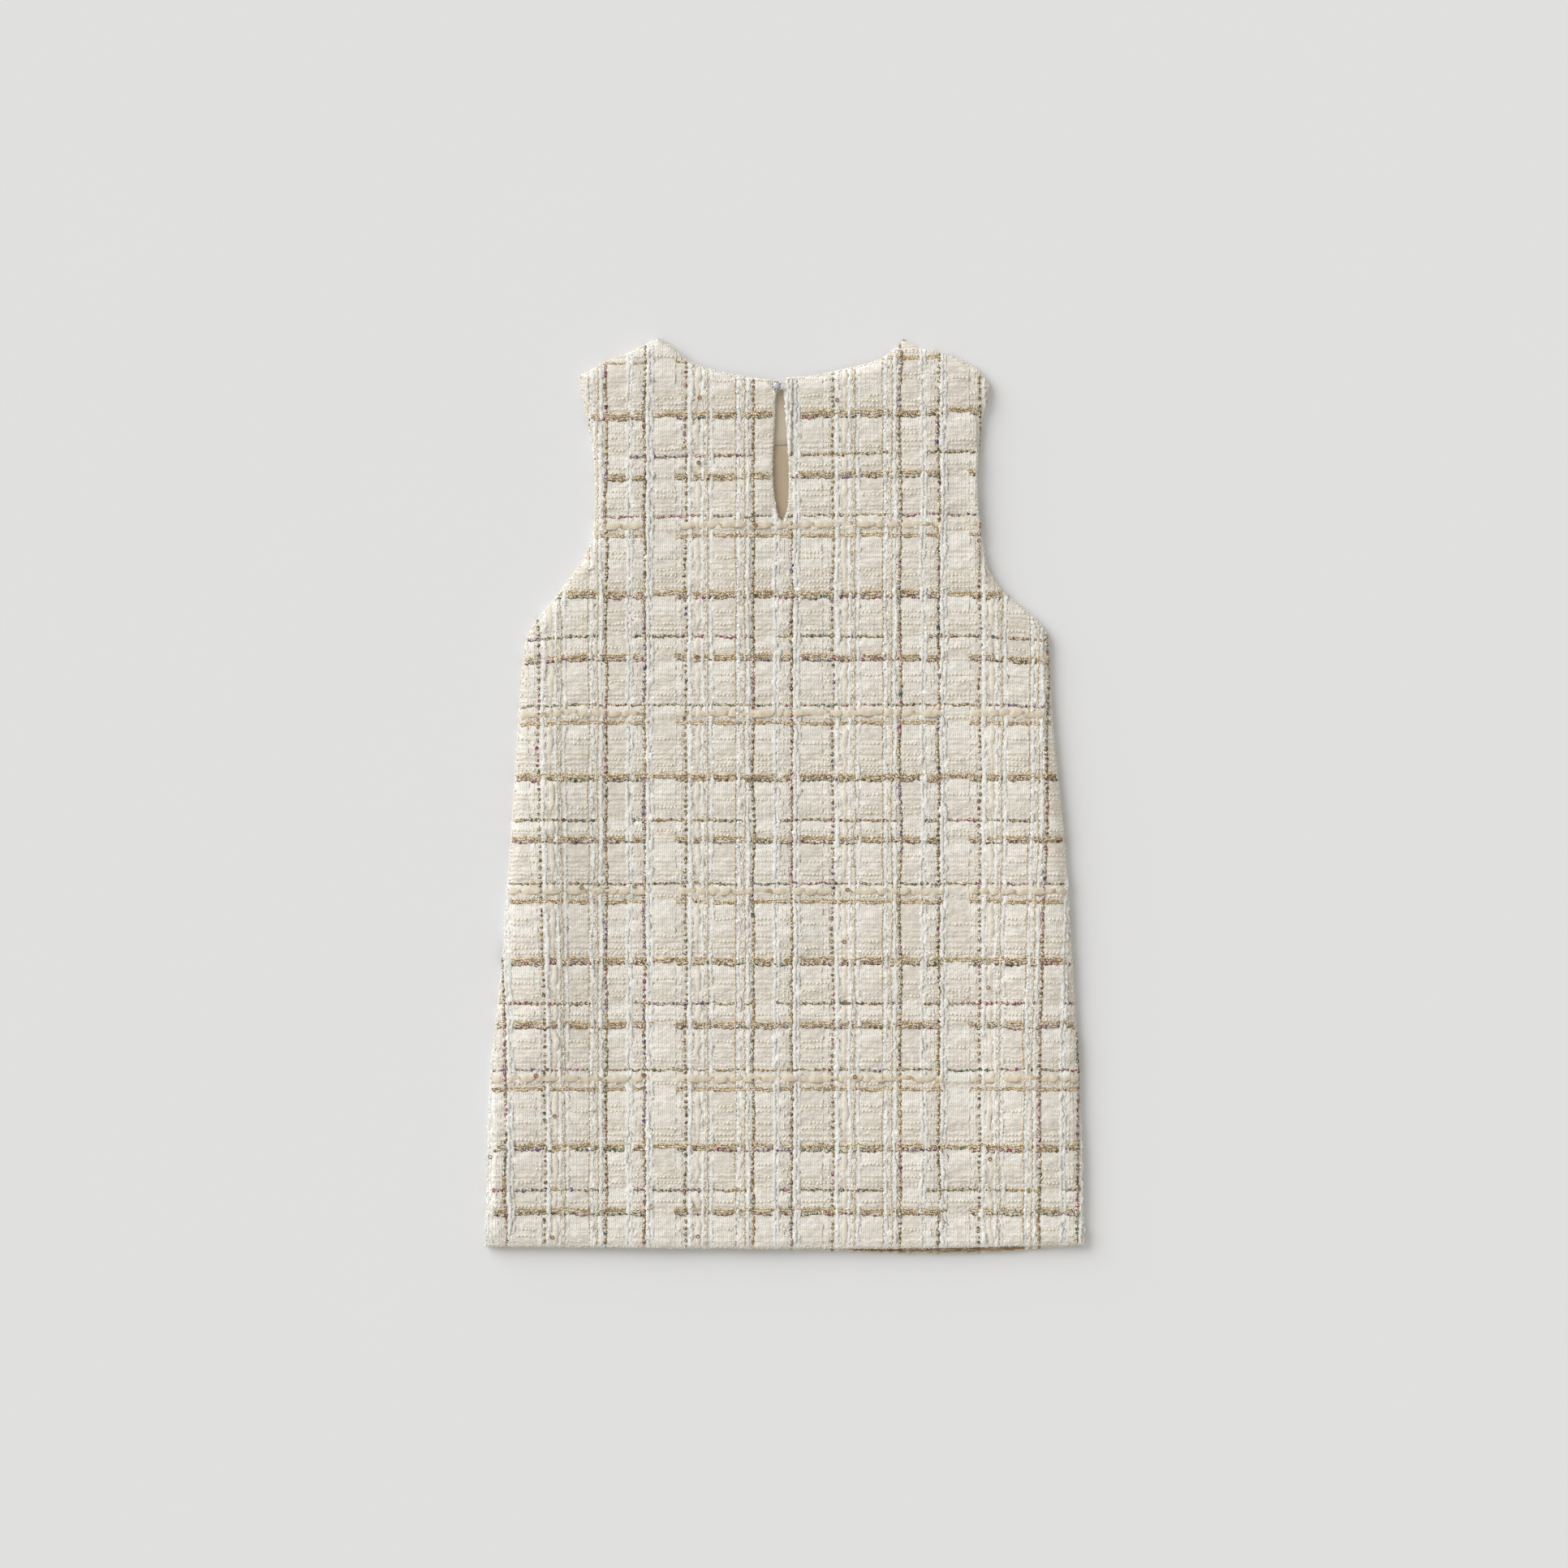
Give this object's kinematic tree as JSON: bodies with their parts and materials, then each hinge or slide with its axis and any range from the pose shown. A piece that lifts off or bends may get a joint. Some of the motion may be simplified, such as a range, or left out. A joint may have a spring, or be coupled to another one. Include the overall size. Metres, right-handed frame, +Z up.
{
  "type": "a-line dress",
  "caption": "Child's sleeveless A-line dress in cream fancy tweed check, laid flat back side up, with a keyhole slit closed by a button and a thread loop.",
  "frame": {"origin": "middle of the dress as it lies, on the surface under it", "axes": "+Z up out of the back panel, +Y along the dress towards the neck, +X towards the right of the picture"},
  "size_m": [0.369, 0.5634, 0.01],
  "materials": {
    "tweed": "cream fancy tweed with white, gold and dark glitter yarns in a check",
    "facing_cloth": "smooth greige plain weave",
    "lining_cloth": "satin-smooth beige lining",
    "clear_stone": "clear, faceted, glossy, with a ring of small beads",
    "cream_cord": "twisted thread cord"
  },
  "bodies": {
    "root": {"back_panel": "tweed", "front_panel": "tweed", "front_facing": "facing_cloth", "front_lining": "lining_cloth", "button": "clear_stone", "button_loop": "cream_cord"}
  },
  "joints": []
}
